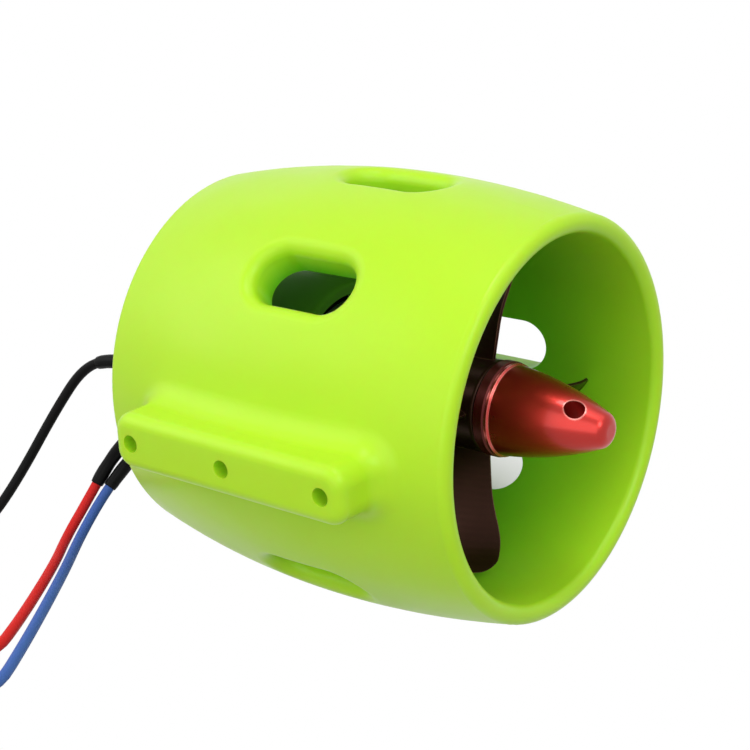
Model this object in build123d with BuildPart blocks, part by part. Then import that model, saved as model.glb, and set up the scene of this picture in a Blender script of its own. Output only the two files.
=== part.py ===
from build123d import *
import os
from math import atan, cos, pi, radians, sin, tan

# A small ducted underwater thruster, in millimetres. X runs along the thrust axis towards the
# outlet, Z is up, and the origin is the middle screw hole on the face of the mounting rib.

os.makedirs("parts", exist_ok=True)

# Mounting rib on the side of the duct
screw_count = 3
screw_pitch = 20.0
screw_hole_radius = 1.5
screw_hole_depth = 8.0
rib_rise = 7.9
rib_length = 48.0
rib_height = 9.5
rib_end_radius = 3.2
rib_edge_round = 2.0
rib_foot_fillet = 4.5

# Duct: a barrel, widest at its middle, with a half-round lip at the outlet
outlet_ahead_of_rib = 34.6
duct_length = 71.6
outlet_radius = 34.3
barrel_radius = 37.7
intake_radius = 33.6
duct_wall = 3.4
intake_edge_round = 1.0
slots_in_circle = 8
slot_centre_x = 2.6
slot_length = 17.0
slot_width = 8.0
slot_edge_round = 2.4

# Motor pod: a cup on four vanes that are bonded to the inside of the duct
pod_radius = 17.0
pod_wall = 2.0
pod_front_x = -10.4
pod_floor_x = -31.4
pod_floor_thickness = 3.0
pod_back_round = 2.4
pod_front_round = 0.8
vane_count = 4
vane_nose_radius = 1.4
vane_tail_radius = 0.6
vane_tail_x = -14.0
vane_nose_x = -30.8
bond_gap = 0.05
shaft_opening_radius = 5.0

# Motor: outer rotor, twelve teeth, fourteen magnets
motor_screw_wide = 19.0
motor_screw_narrow = 16.0
m3_radius = 1.45
m3_tapped_radius = 1.5
m3_clearance_radius = 1.65
m3_head_radius = 2.7
m3_head_height = 1.7
m3_head_round = 0.55
m3_socket_radius = 1.15
m3_socket_depth = 1.0
base_thickness = 3.0
base_hub_radius = 7.4
base_arm_width = 6.6
base_arm_reach = 12.8
bearing_tube_radius = 5.5
bearing_tube_length = 15.5
bearing_radius = 4.5
bearing_width = 4.0
bearing_outer_ring = 0.6
bearing_inner_ring = 0.7
bearing_shield_recess = 0.25
tube_shoulder_radius = 3.6
shaft_radius = 2.0
running_clearance = 0.03
seat_clearance = 0.02
stator_radius = 11.0
stator_length = 12.0
stator_behind_base = 2.0
tooth_count = 12
tooth_width = 1.6
tooth_shoe_depth = 0.9
tooth_root_radius = 7.2
tooth_opening = 1.0
winding_thickness = 0.95
winding_overhang = 1.1
winding_gap = 0.08
winding_root_gap = 0.4
winding_shoe_gap = 0.3
magnet_count = 14
air_gap = 0.4
magnet_thickness = 1.2
magnet_width = 4.4
flux_ring_wall = 1.2
flux_ring_overhang = 0.8
bell_plate_thickness = 2.4
bell_boss_radius = 4.4
bell_boss_depth = 0.8
bell_spigot_depth = 1.0
bell_spigot_wall = 1.0
bell_rim_round = 0.6
bell_window_outer = 11.2
bell_window_from_arm = 0.9
bell_window_corner = 0.8
bell_clear_of_windings = 2.2
clip_thickness = 0.6
clip_radius = 3.4
clip_groove_depth = 0.4
clip_opening = 1.9
shaft_past_clip = 0.9
shaft_in_adapter = 7.7
shaft_end_chamfer = 0.3
axial_play = 0.1
spacer_radius = 3.1

# Propeller adapter, propeller, washer and bullet nut
adapter_arm_width = 6.4
adapter_arm_reach = 12.2
adapter_arm_thickness = 2.5
adapter_screw_radius_out = 9.3
adapter_body_radius = 6.2
adapter_seat_radius = 7.4
adapter_waist_radius = 5.2
adapter_length = 15.3
adapter_flange_thickness = 1.5
stem_radius = 3.0
stem_length = 25.3
pilot_depth = 8.0
bore_clearance = 0.05
blade_count = 4
blade_phase = -6.0
propeller_radius = 29.3
propeller_hub_radius = 8.0
propeller_hub_length = 12.3
hub_edge_round = 0.8
propeller_pitch = 125.0
blade_root_radius = 6.2
blade_wide_radius = 22.0
blade_section_count = 7
blade_stock_past_tip = 1.0
blade_root_chord = 11.0
blade_wide_chord = 15.0
blade_root_thickness = 2.6
blade_tip_thickness = 1.3
blade_edge_thickness = 0.5
blade_camber = 0.07
blade_trailing_corner = 3.8
blade_leading_corner = 7.0
blade_outline_margin = 0.3
trailing_edge_back = 1.2
trailing_edge_rake = 2.5
washer_radius = 8.2
washer_thickness = 2.2
washer_edge = 0.3
nut_length = 19.3
nut_base_radius = 8.0
nut_ring_length = 0.5
nut_ring_bevel = 0.3
nut_middle_radius = 5.95
nut_nose_radius = 2.5
nut_nose_round = 2.1
nut_bore_depth = 11.5
cross_hole_radius = 1.65
cross_hole_from_base = 14.1
cross_hole_angle = 55.0

# Leads: silicone wire, heat-shrink over each joint near the motor, a bullet plug at the free end
lead_radius = 1.0
sleeve_radius = 1.35
potting_length = 10.8
potting_width = 4.6
potting_from_axis = 11.3
potting_flange = 0.7
potting_flange_thickness = 0.8
potting_angle = 225.0
exit_spread = 3.1
tail_radius = 0.8
tail_from_axis = 9.2
tail_angles = (206.0, 217.5, 240.0)
bend_share = 0.45
coil_radius = 11.0
coil_turns_wide = 3
coil_turns_high = 2
coil_entry_length = 10.8
coil_exit_length = 12.5
coil_edge_round = 0.9
coil_entry_angle = 230.2
last_run = 10.0
last_black_run = 5.0
plug_sleeve_radius = 1.7
plug_sleeve_length = 10.0
plug_sleeve_overlap = 1.0
plug_cup_radius = 1.3
plug_cup_length = 9.0
plug_pin_radius = 1.0
plug_pin_length = 8.0
plug_pin_round = 0.5

# How near a place has to be to count as the same, when edges are chosen
near = 0.1

# Places that follow from the sizes above
axis_y = max(barrel_radius, outlet_radius) + rib_rise
thrust_axis = Axis((0, axis_y, 0), (1, 0, 0))
side = Plane(origin=(0, axis_y, 0), x_dir=(1, 0, 0), z_dir=(0, -1, 0))
outlet_x = outlet_ahead_of_rib
intake_x = outlet_x - duct_length
lip_round = duct_wall / 2
lip_x = outlet_x - lip_round
widest_x = (lip_x + intake_x) / 2
pod_back_x = pod_floor_x - pod_floor_thickness
base_front_x = pod_floor_x + base_thickness
stator_back_x = base_front_x + stator_behind_base
stator_front_x = stator_back_x + stator_length
tube_front_x = base_front_x + bearing_tube_length
magnet_inner_radius = stator_radius + air_gap
magnet_outer_radius = magnet_inner_radius + magnet_thickness
flux_ring_inner = magnet_outer_radius + bond_gap
flux_ring_outer = flux_ring_inner + flux_ring_wall
bell_back_x = stator_front_x + winding_overhang + bell_clear_of_windings
bell_front_x = bell_back_x + bell_plate_thickness
adapter_seat_x = bell_front_x + adapter_arm_thickness + adapter_length
hub_front_x = adapter_seat_x + propeller_hub_length
washer_front_x = hub_front_x + washer_thickness
nut_tip_x = washer_front_x + nut_length

motor_screw_places = (
    (motor_screw_wide / 2, 0),
    (-motor_screw_wide / 2, 0),
    (0, motor_screw_narrow / 2),
    (0, -motor_screw_narrow / 2),
)
adapter_screw_places = (
    (adapter_screw_radius_out, 0),
    (-adapter_screw_radius_out, 0),
    (0, adapter_screw_radius_out),
    (0, -adapter_screw_radius_out),
)


def station(x):
    """The plane across the thrust axis at x: its own x is Y and its own y is Z."""
    return Plane(origin=(x, axis_y, 0), x_dir=(0, 1, 0), z_dir=(1, 0, 0))


def radial(x, angle):
    """The plane that looks out from the axis at x, angle degrees up from the rib's side."""
    outwards = (0, -cos(radians(angle)), sin(radians(angle)))
    return Plane(origin=(x, axis_y, 0), x_dir=(1, 0, 0), z_dir=outwards)


def finish(piece, name):
    """Names the piece and writes it."""
    piece.part.label = name
    export_step(piece.part, f"parts/{name}.step")


def distance_from_axis(point):
    return ((point.Y - axis_y) ** 2 + point.Z**2) ** 0.5


# The duct starts as a solid barrel, with one half of its round lip at the outlet.
lip_middle = (lip_x, outlet_radius - lip_round)
lip_crest = (outlet_x, outlet_radius - lip_round)
with BuildPart() as shroud:
    with BuildSketch(side):
        with BuildLine():
            ThreePointArc((lip_x, outlet_radius), (widest_x, barrel_radius), (intake_x, intake_radius))
            Polyline((intake_x, intake_radius), (intake_x, 0), (outlet_x, 0), lip_crest)
            CenterArc(lip_middle, lip_round, 0, 90)
        make_face()
    revolve(axis=thrust_axis)

    # The rib runs into the barrel with a wide fillet round its foot.
    with BuildSketch(Plane(origin=(0, 0, 0), x_dir=(1, 0, 0), z_dir=(0, 1, 0))):
        RectangleRounded(rib_length, rib_height, rib_end_radius)
    extrude(amount=axis_y)
    rib_foot = [
        edge
        for edge in shroud.edges()
        if abs((edge @ 0.5).X) < rib_length / 2 + near
        and abs((edge @ 0.5).Z) < rib_height / 2 + near
        and near < (edge @ 0.5).Y < axis_y
        and (edge % 0.5).cross(Vector(0, 1, 0)).length > near
    ]
    fillet(rib_foot, rib_foot_fillet)
    fillet(shroud.edges().group_by(Axis.Y)[0], rib_edge_round)

    # The bore is the same barrel one wall further in, with the other half of the lip.
    with BuildSketch(side):
        with BuildLine():
            ThreePointArc(
                (intake_x, intake_radius - duct_wall),
                (widest_x, barrel_radius - duct_wall),
                (lip_x, outlet_radius - duct_wall),
            )
            CenterArc(lip_middle, lip_round, -90, 90)
            Polyline(lip_crest, (outlet_x, 0), (intake_x, 0), (intake_x, intake_radius - duct_wall))
        make_face()
    revolve(axis=thrust_axis, mode=Mode.SUBTRACT)
    fillet(shroud.edges().filter_by(GeomType.CIRCLE).group_by(Axis.X)[0], intake_edge_round)

    # Slots go all round, apart from the rib's place.
    for place in range(1, slots_in_circle):
        with BuildSketch(radial(slot_centre_x, place * 360 / slots_in_circle)):
            SlotOverall(slot_length, slot_width)
        extrude(amount=barrel_radius + duct_wall, mode=Mode.SUBTRACT)
    middle_of_wall = barrel_radius - duct_wall / 2
    past_rib_y = axis_y - barrel_radius * cos(pi / slots_in_circle)
    slot_rims = [
        edge
        for edge in shroud.edges()
        if abs((edge @ 0.5).X - slot_centre_x) < slot_length / 2 + near
        and (edge @ 0.5).Y > past_rib_y
        and distance_from_axis(edge @ 0) > middle_of_wall
        and distance_from_axis(edge @ 0.5) > middle_of_wall
        and distance_from_axis(edge @ 1) > middle_of_wall
    ]
    fillet(slot_rims, slot_edge_round)

    # Blind screw holes in a line along the rib.
    with Locations(Plane(origin=(0, 0, 0), x_dir=(1, 0, 0), z_dir=(0, -1, 0))):
        with GridLocations(screw_pitch, 0, screw_count, 1):
            Hole(screw_hole_radius, screw_hole_depth)
finish(shroud, "shroud")
floor_z = shroud.part.bounding_box().min.Z
print("floor at z", round(floor_z, 3))

# The pod is a cup, open towards the outlet. Its vanes end at the inside of the duct.
with BuildPart() as motor_pod:
    with BuildSketch(side):
        with BuildLine():
            Polyline(
                (pod_back_x, shaft_opening_radius),
                (pod_back_x, pod_radius),
                (pod_front_x, pod_radius),
                (pod_front_x, pod_radius - pod_wall),
                (pod_floor_x, pod_radius - pod_wall),
                (pod_floor_x, shaft_opening_radius),
                close=True,
            )
        make_face()
    revolve(axis=thrust_axis)
    outer_rims = motor_pod.edges().filter_by(GeomType.CIRCLE).filter_by(
        lambda edge: abs(edge.radius - pod_radius) < near
    )
    fillet(outer_rims.group_by(Axis.X)[0], pod_back_round)
    fillet(outer_rims.group_by(Axis.X)[-1], pod_front_round)
    for place in range(vane_count):
        angle = (place + 0.5) * 360 / vane_count
        with BuildSketch(radial(0, angle).offset(pod_radius - pod_wall / 2)):
            with Locations((vane_nose_x + vane_nose_radius, 0)):
                Circle(vane_nose_radius)
            with Locations((vane_tail_x - vane_tail_radius, 0)):
                Circle(vane_tail_radius)
            make_hull()
        extrude(amount=barrel_radius - pod_radius)
    with BuildSketch(side):
        with BuildLine():
            inside = ThreePointArc(
                (intake_x, intake_radius - duct_wall - bond_gap),
                (widest_x, barrel_radius - duct_wall - bond_gap),
                (lip_x, outlet_radius - duct_wall - bond_gap),
            )
            Polyline(inside @ 1, (lip_x, 0), (intake_x, 0), inside @ 0)
        make_face()
    revolve(axis=thrust_axis, mode=Mode.INTERSECT)
    # Holes for the four motor screws, and the oval where the leads leave.
    with Locations(station(pod_floor_x)):
        with Locations(*motor_screw_places):
            Hole(m3_clearance_radius, pod_floor_thickness)
    with BuildSketch(station(pod_floor_x)):
        with PolarLocations(potting_from_axis, 1, start_angle=potting_angle):
            SlotOverall(potting_length, potting_width, rotation=90)
    extrude(amount=-pod_floor_thickness, mode=Mode.SUBTRACT)
finish(motor_pod, "motor_pod")

# Potting seals the three leads in the oval. Its flange lies on the back of the pod.
with BuildPart() as lead_potting:
    with BuildSketch(station(pod_floor_x)):
        with PolarLocations(potting_from_axis, 1, start_angle=potting_angle):
            SlotOverall(potting_length - 2 * bond_gap, potting_width - 2 * bond_gap, rotation=90)
    extrude(amount=-pod_floor_thickness)
    with BuildSketch(station(pod_back_x)):
        with PolarLocations(potting_from_axis, 1, start_angle=potting_angle):
            SlotOverall(potting_length + 2 * potting_flange, potting_width + 2 * potting_flange, rotation=90)
    extrude(amount=-potting_flange_thickness)
finish(lead_potting, "lead_potting")
exit_x = pod_back_x - potting_flange_thickness

# Motor base: a hub with four arms on the floor of the pod, and the bearing tube.
with BuildPart() as motor_base:
    with BuildSketch(station(pod_floor_x)):
        Circle(base_hub_radius)
        SlotOverall(2 * base_arm_reach, base_arm_width)
        SlotOverall(2 * base_arm_reach, base_arm_width, rotation=90)
    extrude(amount=base_thickness)
    with BuildSketch(station(base_front_x)):
        Circle(bearing_tube_radius)
    extrude(amount=bearing_tube_length)
    with BuildSketch(side):
        with BuildLine():
            Polyline(
                (pod_floor_x, 0),
                (pod_floor_x, bearing_radius + seat_clearance),
                (pod_floor_x + bearing_width, bearing_radius + seat_clearance),
                (pod_floor_x + bearing_width, tube_shoulder_radius),
                (tube_front_x - bearing_width, tube_shoulder_radius),
                (tube_front_x - bearing_width, bearing_radius + seat_clearance),
                (tube_front_x, bearing_radius + seat_clearance),
                (tube_front_x, 0),
                close=True,
            )
        make_face()
    revolve(axis=thrust_axis, mode=Mode.SUBTRACT)
    with Locations(station(base_front_x)):
        with Locations(*motor_screw_places):
            Hole(m3_tapped_radius, base_thickness)
finish(motor_base, "motor_base")


def bearing(back_x):
    """A shielded ball bearing, with the shallow recess of its shields on both faces."""
    with BuildPart() as piece:
        with BuildSketch(station(back_x)):
            Circle(bearing_radius)
            Circle(shaft_radius + running_clearance, mode=Mode.SUBTRACT)
        extrude(amount=bearing_width)
        for face_x, depth in ((back_x, bearing_shield_recess), (back_x + bearing_width, -bearing_shield_recess)):
            with BuildSketch(station(face_x)):
                Circle(bearing_radius - bearing_outer_ring)
                Circle(shaft_radius + bearing_inner_ring, mode=Mode.SUBTRACT)
            extrude(amount=depth, mode=Mode.SUBTRACT)
    return piece


finish(bearing(pod_floor_x), "rear_bearing")
finish(bearing(tube_front_x - bearing_width), "front_bearing")


def cap_screws(places, seat_x, shank_length, head_side):
    """Like cap screws: heads stand on seat_x, towards +X where head_side is 1, -X where it is -1."""
    with BuildPart() as piece:
        with BuildSketch(station(seat_x)):
            with Locations(*places):
                Circle(m3_radius)
        extrude(amount=-head_side * shank_length)
        with BuildSketch(station(seat_x)):
            with Locations(*places):
                Circle(m3_head_radius)
        extrude(amount=head_side * m3_head_height)
        outer_rims = piece.edges().filter_by(GeomType.CIRCLE).sort_by(Axis.X, reverse=head_side > 0)
        fillet(outer_rims[: len(places)], m3_head_round)
        with BuildSketch(station(seat_x + head_side * m3_head_height)):
            with Locations(*places):
                RegularPolygon(m3_socket_radius, 6)
        extrude(amount=-head_side * m3_socket_depth, mode=Mode.SUBTRACT)
    return piece


# Screws that hold the motor to the pod, heads on the back of the pod.
motor_screw_length = pod_floor_thickness + base_thickness
finish(cap_screws(motor_screw_places, pod_back_x, motor_screw_length, -1), "motor_screws")

# Stator core: a stack of laminations on the bearing tube, with twelve teeth.
with BuildPart() as stator_core:
    with BuildSketch(station(stator_back_x)):
        Circle(stator_radius)
        Circle(stator_radius - tooth_shoe_depth, mode=Mode.SUBTRACT)
        with PolarLocations(stator_radius, tooth_count, start_angle=180 / tooth_count):
            Rectangle(stator_radius - tooth_root_radius, tooth_opening, mode=Mode.SUBTRACT)
        with PolarLocations((tooth_root_radius + stator_radius - tooth_shoe_depth) / 2, tooth_count):
            Rectangle(stator_radius - tooth_root_radius, tooth_width)
        Circle(tooth_root_radius)
        Circle(bearing_tube_radius + seat_clearance, mode=Mode.SUBTRACT)
    extrude(amount=stator_length)
finish(stator_core, "stator_core")

# One closed coil of enamelled wire round each tooth, sealed in resin.
winding_x = stator_back_x + stator_length / 2
winding_foot = tooth_root_radius + winding_root_gap
winding_depth = stator_radius - tooth_shoe_depth - winding_shoe_gap - winding_foot
with BuildPart() as stator_windings:
    for place in range(tooth_count):
        with BuildSketch(radial(winding_x, place * 360 / tooth_count).offset(winding_foot)):
            RectangleRounded(
                stator_length + 2 * winding_overhang,
                tooth_width + 2 * (winding_gap + winding_thickness),
                winding_thickness,
            )
            Rectangle(stator_length + 2 * winding_gap, tooth_width + 2 * winding_gap, mode=Mode.SUBTRACT)
        extrude(amount=winding_depth)
finish(stator_windings, "stator_windings")


def lead_place(place):
    """Where lead number place (-1, 0 or 1) crosses the potting, as Y and Z."""
    middle = radians(potting_angle)
    return (
        axis_y + potting_from_axis * cos(middle) - place * exit_spread * sin(middle),
        potting_from_axis * sin(middle) + place * exit_spread * cos(middle),
    )


# Three phase tails lean outwards from the windings to the leads' places in the potting.
winding_back_x = stator_back_x - winding_overhang
with BuildPart() as phase_tails:
    for place, angle in zip((-1, 0, 1), tail_angles):
        at_windings = Vector(
            winding_back_x,
            axis_y + tail_from_axis * cos(radians(angle)),
            tail_from_axis * sin(radians(angle)),
        )
        at_potting = Vector(pod_floor_x, *lead_place(place))
        way = at_potting - at_windings
        with BuildSketch(Plane(origin=at_windings, x_dir=(0, 1, 0), z_dir=(1, 0, 0))):
            Circle(tail_radius)
        extrude(amount=way.length, dir=way.normalized())
finish(phase_tails, "phase_tails")

# Motor shaft, with the groove of its circlip behind the rear bearing.
clip_front_x = pod_floor_x - axial_play
clip_back_x = clip_front_x - clip_thickness
shaft_back_x = clip_back_x - shaft_past_clip
shaft_front_x = bell_front_x + shaft_in_adapter
groove_radius = shaft_radius - clip_groove_depth
with BuildPart() as motor_shaft:
    with BuildSketch(station(shaft_back_x)):
        Circle(shaft_radius)
    extrude(amount=shaft_front_x - shaft_back_x)
    chamfer(motor_shaft.edges().filter_by(GeomType.CIRCLE), shaft_end_chamfer)
    with BuildSketch(station(clip_back_x)):
        Circle(shaft_radius)
        Circle(groove_radius, mode=Mode.SUBTRACT)
    extrude(amount=clip_thickness, mode=Mode.SUBTRACT)
finish(motor_shaft, "motor_shaft")

with BuildPart() as shaft_circlip:
    with BuildSketch(station(clip_back_x)):
        Circle(clip_radius)
        Circle(groove_radius + seat_clearance, mode=Mode.SUBTRACT)
        with Locations((clip_radius / 2, 0)):
            Rectangle(clip_radius, clip_opening, mode=Mode.SUBTRACT)
    extrude(amount=clip_thickness)
finish(shaft_circlip, "shaft_circlip")

# The spacer keeps the bell off the front bearing. It bears on the inner ring only.
boss_back_x = bell_back_x - bell_boss_depth
spacer_back_x = tube_front_x + axial_play
with BuildPart() as thrust_spacer:
    with BuildSketch(station(spacer_back_x)):
        Circle(spacer_radius)
        Circle(shaft_radius + seat_clearance, mode=Mode.SUBTRACT)
    extrude(amount=boss_back_x - spacer_back_x)
finish(thrust_spacer, "thrust_spacer")

# Rotor bell: a plate with a boss on the shaft, and a spigot that centres the flux ring.
spigot_radius = flux_ring_inner - seat_clearance
with BuildPart() as rotor_bell:
    with BuildSketch(station(bell_back_x)):
        Circle(flux_ring_outer)
    extrude(amount=bell_plate_thickness)
    front_rim = rotor_bell.edges().filter_by(GeomType.CIRCLE).sort_by(Axis.X)[-1]
    fillet(front_rim, bell_rim_round)
    with BuildSketch(station(bell_back_x)):
        Circle(spigot_radius)
        Circle(spigot_radius - bell_spigot_wall, mode=Mode.SUBTRACT)
    extrude(amount=-bell_spigot_depth)
    with BuildSketch(station(bell_back_x)):
        Circle(bell_boss_radius)
    extrude(amount=-bell_boss_depth)
    with BuildSketch(station(bell_front_x)):
        Circle(shaft_radius + seat_clearance)
    extrude(amount=-bell_plate_thickness - bell_boss_depth, mode=Mode.SUBTRACT)
    # Four windows between the arms of the adapter let water through the motor.
    with BuildSketch(station(bell_front_x)) as windows:
        Circle(bell_window_outer)
        Rectangle(2 * pod_radius, adapter_arm_width + 2 * bell_window_from_arm, mode=Mode.SUBTRACT)
        Rectangle(adapter_arm_width + 2 * bell_window_from_arm, 2 * pod_radius, mode=Mode.SUBTRACT)
        fillet(windows.vertices(), bell_window_corner)
    extrude(amount=-bell_plate_thickness, mode=Mode.SUBTRACT)
    with BuildSketch(station(bell_front_x)):
        with Locations(*adapter_screw_places):
            Circle(m3_tapped_radius)
    extrude(amount=-bell_plate_thickness, mode=Mode.SUBTRACT)
finish(rotor_bell, "rotor_bell")

with BuildPart() as flux_ring:
    with BuildSketch(station(stator_back_x - flux_ring_overhang)):
        Circle(flux_ring_outer)
        Circle(flux_ring_inner, mode=Mode.SUBTRACT)
    extrude(amount=bell_back_x - stator_back_x + flux_ring_overhang)
finish(flux_ring, "flux_ring")

# Arc magnets: bars that run out from the axis, cut to a ring.
with BuildPart() as rotor_magnets:
    with BuildSketch(station(stator_back_x)):
        with PolarLocations(magnet_inner_radius, magnet_count):
            Rectangle(magnet_inner_radius, magnet_width)
        Circle(magnet_outer_radius, mode=Mode.INTERSECT)
        Circle(magnet_inner_radius, mode=Mode.SUBTRACT)
    extrude(amount=stator_length)
finish(rotor_magnets, "rotor_magnets")

# Propeller adapter: four arms on the bell, a waisted body, the seat of the hub and the stem.
arm_front_x = bell_front_x + adapter_arm_thickness
stem_front_x = adapter_seat_x + stem_length
with BuildPart() as prop_adapter:
    with BuildSketch(station(bell_front_x)):
        SlotOverall(2 * adapter_arm_reach, adapter_arm_width)
        SlotOverall(2 * adapter_arm_reach, adapter_arm_width, rotation=90)
    extrude(amount=adapter_arm_thickness)
    with BuildSketch(side):
        with BuildLine():
            Polyline((stem_front_x, 0), (bell_front_x, 0), (bell_front_x, adapter_body_radius))
            Line((bell_front_x, adapter_body_radius), (arm_front_x, adapter_body_radius))
            ThreePointArc(
                (arm_front_x, adapter_body_radius),
                ((arm_front_x + adapter_seat_x) / 2, adapter_waist_radius),
                (adapter_seat_x - adapter_flange_thickness, adapter_seat_radius),
            )
            Polyline(
                (adapter_seat_x - adapter_flange_thickness, adapter_seat_radius),
                (adapter_seat_x, adapter_seat_radius),
                (adapter_seat_x, stem_radius),
                (stem_front_x, stem_radius),
                (stem_front_x, 0),
            )
        make_face()
    revolve(axis=thrust_axis)
    chamfer(
        prop_adapter.edges().filter_by(GeomType.CIRCLE).sort_by(Axis.X)[-1], shaft_end_chamfer
    )
    with Locations(station(bell_front_x)):
        Hole(shaft_radius + seat_clearance, pilot_depth)
    with BuildSketch(station(bell_front_x)):
        with Locations(*adapter_screw_places):
            Circle(m3_clearance_radius)
    extrude(amount=adapter_arm_thickness, mode=Mode.SUBTRACT)
finish(prop_adapter, "prop_adapter")

adapter_screw_length = bell_plate_thickness + adapter_arm_thickness
finish(cap_screws(adapter_screw_places, arm_front_x, adapter_screw_length, 1), "adapter_screws")


def share_of_blade(radius):
    """0 at the hub, 1 where the blade is widest and beyond."""
    return min(1, (radius - propeller_hub_radius) / (blade_wide_radius - propeller_hub_radius))


def blade_angle(radius):
    """The angle between the blade's face and the propeller's disc, in radians."""
    return atan(propeller_pitch / (2 * pi * radius))


def trailing_edge_x(radius):
    return hub_front_x - trailing_edge_back + trailing_edge_rake * share_of_blade(radius) ** 2


# One blade, along +Y: sections of a cambered aerofoil with blunt edges, each on a plane square
# to the blade's line, turned to its own angle. The trailing edge is on that line.
with BuildPart() as blade:
    for step in range(blade_section_count):
        beyond_root = step / (blade_section_count - 1)
        radius = blade_root_radius + beyond_root * (
            propeller_radius + blade_stock_past_tip - blade_root_radius
        )
        angle = blade_angle(radius)
        chord = blade_root_chord + share_of_blade(radius) * (blade_wide_chord - blade_root_chord)
        thickness = blade_root_thickness + beyond_root * (blade_tip_thickness - blade_root_thickness)
        belly = blade_camber * chord
        edge = blade_edge_thickness / 2
        with BuildSketch(
            Plane(
                origin=(trailing_edge_x(radius), axis_y + radius, 0),
                x_dir=(-sin(angle), 0, -cos(angle)),
                z_dir=(0, 1, 0),
            )
        ):
            with BuildLine():
                ThreePointArc((0, edge), (chord / 2, belly + thickness / 2), (chord, edge))
                Line((chord, edge), (chord, -edge))
                ThreePointArc((chord, -edge), (chord / 2, belly - thickness / 2), (0, -edge))
                Line((0, -edge), (0, edge))
            make_face()
    loft()

    # Seen square to its outer part, the blade is a paddle with two round corners.
    face_angle = blade_angle(blade_wide_radius)
    paddle_face = Plane(
        origin=(trailing_edge_x(blade_wide_radius), axis_y, 0),
        x_dir=(-sin(face_angle), 0, -cos(face_angle)),
        z_dir=(cos(face_angle), 0, -sin(face_angle)),
    )
    trailing_side = -blade_outline_margin
    leading_side = blade_wide_chord + blade_outline_margin

    def tip_height(across):
        return (propeller_radius**2 - (across * cos(face_angle)) ** 2) ** 0.5

    with BuildSketch(paddle_face) as paddle:
        with BuildLine():
            ThreePointArc(
                (trailing_side, tip_height(trailing_side)),
                (blade_wide_chord / 2, tip_height(blade_wide_chord / 2)),
                (leading_side, tip_height(leading_side)),
            )
            Polyline(
                (leading_side, tip_height(leading_side)),
                (leading_side, stem_radius),
                (trailing_side, stem_radius),
                (trailing_side, tip_height(trailing_side)),
            )
        make_face()
        corners = paddle.vertices().sort_by(Axis.Y)
        fillet(corners[-1], blade_trailing_corner)
        corners = paddle.vertices().sort_by(Axis.X).group_by(Axis.X)[-1].sort_by(Axis.Y)
        fillet(corners[-1], blade_leading_corner)
    extrude(amount=blade_wide_chord, both=True, mode=Mode.INTERSECT)

# The propeller is one milled piece: four of these blades on a hub.
with BuildPart() as propeller:
    with BuildSketch(station(adapter_seat_x)):
        Circle(propeller_hub_radius)
    extrude(amount=propeller_hub_length)
    fillet(propeller.edges().filter_by(GeomType.CIRCLE), hub_edge_round)
    for place in range(blade_count):
        add(blade.part.rotate(thrust_axis, blade_phase + place * 360 / blade_count))
    with BuildSketch(station(adapter_seat_x)):
        Circle(stem_radius + bore_clearance)
    extrude(amount=propeller_hub_length, mode=Mode.SUBTRACT)
finish(propeller, "propeller")

with BuildPart() as prop_washer:
    with BuildSketch(station(hub_front_x)):
        Circle(washer_radius)
        Circle(stem_radius + bore_clearance, mode=Mode.SUBTRACT)
    extrude(amount=washer_thickness)
    washer_rims = prop_washer.edges().filter_by(GeomType.CIRCLE).sort_by(SortBy.RADIUS)
    chamfer(washer_rims[-2:], washer_edge)
finish(prop_washer, "prop_washer")

# Bullet nut: a bevelled ring at its base, rounded nose, blind bore and a cross hole for a bar.
body_start = (washer_front_x + nut_ring_length + nut_ring_bevel, nut_base_radius - nut_ring_bevel)
with BuildPart() as bullet_nut:
    with BuildSketch(side) as half:
        with BuildLine():
            Polyline(
                (nut_tip_x, 0),
                (washer_front_x, 0),
                (washer_front_x, nut_base_radius),
                (washer_front_x + nut_ring_length, nut_base_radius),
                body_start,
            )
            ThreePointArc(
                body_start,
                ((body_start[0] + nut_tip_x) / 2, nut_middle_radius),
                (nut_tip_x, nut_nose_radius),
            )
            Line((nut_tip_x, nut_nose_radius), (nut_tip_x, 0))
        make_face()
        nose = half.vertices().group_by(Axis.X)[-1].sort_by(Axis.Y)[-1]
        fillet(nose, nut_nose_round)
    revolve(axis=thrust_axis)
    with BuildSketch(station(washer_front_x)):
        Circle(stem_radius + bore_clearance)
    extrude(amount=nut_bore_depth, mode=Mode.SUBTRACT)
    with BuildSketch(radial(washer_front_x + cross_hole_from_base, cross_hole_angle)):
        Circle(cross_hole_radius)
    extrude(amount=nut_base_radius, both=True, mode=Mode.SUBTRACT)
finish(bullet_nut, "bullet_nut")

# Routes of the leads. Each leaves the potting straight back, bends down, and lies on the floor.
on_floor = floor_z + lead_radius
into_coil = Vector(1, 0, 0).rotate(Axis.Z, coil_entry_angle)


def straight_back(place, x):
    """A point straight behind the place where a lead leaves the potting."""
    return (x, *lead_place(place))


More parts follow.
